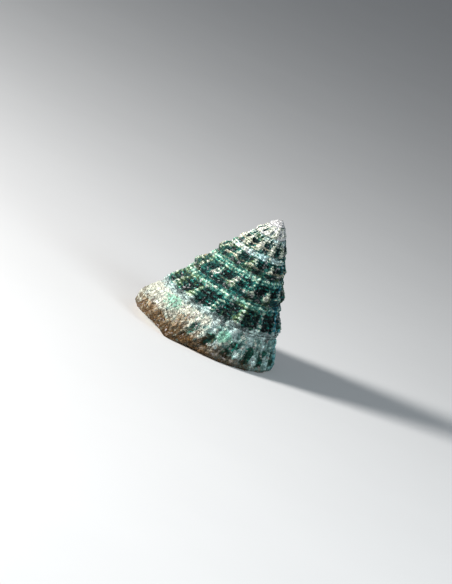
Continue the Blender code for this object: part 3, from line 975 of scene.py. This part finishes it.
def wall_material(granules, mottle):
    material, tree, surface = new_material("crusted_wall", Specular_IOR_Level=0.18)
    paint = WallPaint(tree, granules, mottle)
    colour, dark = paint.windows(paint.crust())
    colour = paint.specks_and_rim_shade(paint.layers(colour, EDGES))
    inputs = {"Saturation": 1.25, "Value": paint.lightness(), "Color": colour}
    colour = put(tree, "ShaderNodeHueSaturation", inputs, out="Color")
    colour = blend(tree, sums(tree, "MULTIPLY", paint.grain.outputs["Gap"], 0.45), colour, NEAR_BLACK)
    colour = paint.layers(colour, (("tip", 0.9, 0.15, 0.75, 0.85, TIP_WHITE),))
    tree.links.new(colour, surface.inputs["Base Color"])
    roughness = sums(tree, "SUBTRACT", 0.85, sums(tree, "MULTIPLY", dark, 0.30))
    tree.links.new(roughness, surface.inputs["Roughness"])
    height = sums(tree, "ADD", paint.grain.outputs["Height"], sums(tree, "MULTIPLY", paint.fine, 0.9))
    height = sums(tree, "ADD", height, sums(tree, "MULTIPLY", paint.beaded, 0.9))
    rough_up(tree, surface, height, WALL_DEPTH)
    return material


def base_material(granules, mottle):
    material, tree, surface = new_material("corded_base")
    grain = group_node(tree, granules, Grains_per_Metre=BASE_GRAINS)
    cloudy = group_node(tree, mottle, Size=0.8)
    broad, middle, fine = (cloudy.outputs[name] for name in ("Broad", "Middle", "Fine"))
    ring = mask(tree, "ring")
    turned = sums(tree, "MULTIPLY", ring, 2 * math.pi * BASE_CORDS)
    cords = sums(tree, "MULTIPLY", put(tree, "ShaderNodeMath", {0: turned}, operation="COSINE"), -0.5)
    patchy = sums(tree, "MULTIPLY", middle, 0.6)
    colour = blend(tree, broad, BASE_SAND, BASE_GREEN)
    on_cords = grow_mask(tree, sums(tree, "ADD", cords, patchy), 0.35, 0.95, 0.0, 0.8)
    colour = blend(tree, on_cords, colour, CREAM)
    between = grow_mask(tree, sums(tree, "SUBTRACT", patchy, cords), 0.35, 0.95, 0.0, 0.85)
    colour = blend(tree, between, colour, OLIVE)
    rim = grow_mask(tree, sums(tree, "SUBTRACT", ring, sums(tree, "MULTIPLY", fine, 0.12)), 0.12, -0.05)
    colour = blend(tree, rim, colour, TAN)
    callus = grow_mask(tree, ring, 0.84, 0.97)
    colour = blend(tree, callus, colour, PEARL)
    value = grow_mask(tree, grain.outputs["Tone"], 0.0, 1.0, 0.82, 1.14)
    colour = put(tree, "ShaderNodeHueSaturation", {"Value": value, "Color": colour}, out="Color")
    colour = blend(tree, sums(tree, "MULTIPLY", grain.outputs["Gap"], 0.35), colour, BROWN)
    tree.links.new(colour, surface.inputs["Base Color"])
    tree.links.new(grow_mask(tree, callus, 0.0, 1.0, 0.72, 0.35), surface.inputs["Roughness"])
    height = sums(tree, "ADD", grain.outputs["Height"], sums(tree, "MULTIPLY", fine, 0.6))
    rough_up(tree, surface, height, BASE_DEPTH)
    return material


def pearl_material(mottle):
    material, tree, surface = new_material("pearly_inside", Coat_Weight=0.35, Coat_Roughness=0.12)
    cloudy = group_node(tree, mottle, Size=1.6)
    broad, middle, fine = (cloudy.outputs[name] for name in ("Broad", "Middle", "Fine"))
    colour = blend(tree, broad, PEARL, PEARL_GREEN)
    colour = blend(tree, grow_mask(tree, middle, 0.4, 1.0, 0.0, 0.6), colour, PEARL_ROSE)
    tree.links.new(colour, surface.inputs["Base Color"])
    tree.links.new(grow_mask(tree, fine, 0.0, 1.0, 0.22, 0.36), surface.inputs["Roughness"])
    rough_up(tree, surface, middle, PEARL_DEPTH)
    return material


# The camera and the light
PICTURE = Vector((452, 584))
APEX_PIXEL = Vector((283, 219.5))
PIXELS_PER_METRE = 4470
LOOK_DOWN = math.radians(11.5)
ROLL = math.radians(24.7)
CAMERA_DISTANCE = 0.73
SENSOR = 36.0
SHELL_MIDDLE = Vector((0, 0, 0.014))

# Each light's way from the shell, to the right, up and towards the camera, then its distance, size, power and colour
KEY_LIGHT = ((-0.72, 0.62, 0.45), 0.50, 0.12, 5.6, (1.0, 0.98, 0.97))
FILL_LIGHT = ((0.75, 0.00, 0.80), 0.60, 0.30, 1.55, (0.82, 0.93, 1.0))
SKY_COLOUR, SKY_STRENGTH = (0.86, 0.92, 1.0, 1.0), 0.17
FLOOR_REACH = 3.0
FLOOR_COLOUR, FLOOR_PALER = (0.74, 0.74, 0.73, 1.0), (0.78, 0.78, 0.77, 1.0)


def camera_axes():
    right = Vector((1, 0, 0))
    up = Vector((0, math.sin(LOOK_DOWN), math.cos(LOOK_DOWN)))
    toward = Vector((0, -math.cos(LOOK_DOWN), math.sin(LOOK_DOWN)))
    turned_right = right * math.cos(ROLL) + up * math.sin(ROLL)
    turned_up = up * math.cos(ROLL) - right * math.sin(ROLL)
    return turned_right, turned_up, toward


def point_at(obj, spot, axes):
    obj.matrix_world = Matrix.Translation(spot) @ Matrix(axes).transposed().to_4x4()


def add_camera():
    right, up, toward = camera_axes()
    away = (APEX_PIXEL - PICTURE / 2) / PIXELS_PER_METRE
    target = Vector(APEX) - right * away.x + up * away.y
    data = bpy.data.cameras.new("camera")
    data.sensor_width = SENSOR
    data.lens = SENSOR * CAMERA_DISTANCE * PIXELS_PER_METRE / PICTURE.y
    data.clip_start = 0.01
    camera = bpy.data.objects.new("camera", data)
    bpy.context.scene.collection.objects.link(camera)
    point_at(camera, target + toward * CAMERA_DISTANCE, (right, up, toward))
    bpy.context.scene.camera = camera


def add_light(name, way, distance, size, power, colour):
    """A square soft light, placed in the camera's directions from the shell."""
    away = sum((axis * share for axis, share in zip(camera_axes(), way)), Vector()).normalized()
    data = bpy.data.lights.new(name, "AREA")
    data.size = size
    data.energy = power
    data.color = colour
    light = bpy.data.objects.new(name, data)
    bpy.context.scene.collection.objects.link(light)
    turned = away.to_track_quat("Z", "Y").to_matrix().to_4x4()
    light.matrix_world = Matrix.Translation(SHELL_MIDDLE + away * distance) @ turned


def add_studio():
    world = bpy.data.worlds.new("studio")
    bpy.context.scene.world = world
    world.use_nodes = True
    background = world.node_tree.nodes["Background"]
    background.inputs["Color"].default_value = SKY_COLOUR
    background.inputs["Strength"].default_value = SKY_STRENGTH
    bpy.context.scene.view_settings.view_transform = "Standard"
    add_light("key", *KEY_LIGHT)
    add_light("fill", *FILL_LIGHT)
    data = bpy.data.meshes.new("floor")
    corners = [(x * FLOOR_REACH, y * FLOOR_REACH, 0) for x, y in ((-1, -1), (1, -1), (1, 1), (-1, 1))]
    data.from_pydata(corners, [], [(0, 1, 2, 3)])
    floor = bpy.data.objects.new("floor", data)
    material, tree, surface = new_material("studio_floor", Roughness=0.9)
    cloudy = speckle(tree, object_place(tree), 0.05)
    colour = blend(tree, cloudy, FLOOR_COLOUR, FLOOR_PALER)
    tree.links.new(colour, surface.inputs["Base Color"])
    data.materials.append(material)
    bpy.context.scene.collection.objects.link(floor)


shell = build_shell()
granules = granule_group()
mottle = mottle_group()
for finish in (wall_material(granules, mottle), base_material(granules, mottle), pearl_material(mottle)):
    shell.data.materials.append(finish)
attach(shell, "root")
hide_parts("shell")
add_camera()
add_studio()
